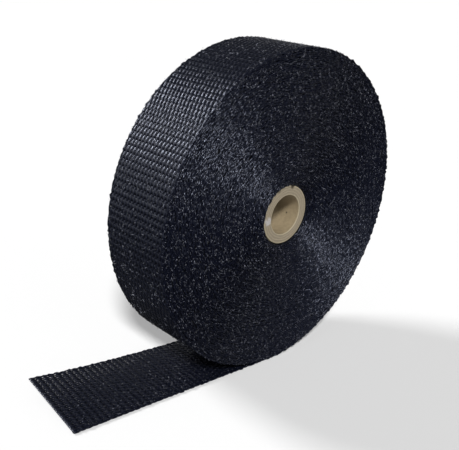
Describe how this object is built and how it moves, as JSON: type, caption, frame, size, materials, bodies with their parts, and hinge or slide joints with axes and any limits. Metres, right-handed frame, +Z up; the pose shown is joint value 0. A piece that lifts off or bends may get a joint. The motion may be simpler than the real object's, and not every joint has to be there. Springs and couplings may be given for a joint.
{
  "type": "exhaust heat wrap roll",
  "caption": "Roll of black woven glass-fibre exhaust heat wrap on a cardboard tube, standing on its round side with its free end laid out on the floor.",
  "frame": {"origin": "on the floor, right under the roll's axis and halfway across the tape's width", "axes": "+Z up; the roll's axis is along Y; the free end runs out along -X"},
  "size_m": [0.2546, 0.0579, 0.206],
  "materials": {
    "woven_tape": "woven, soft sheen",
    "cardboard_tube": "matt"
  },
  "bodies": {
    "root": {"heat_wrap_tape": "woven_tape", "core_tube": "cardboard_tube"}
  },
  "joints": []
}
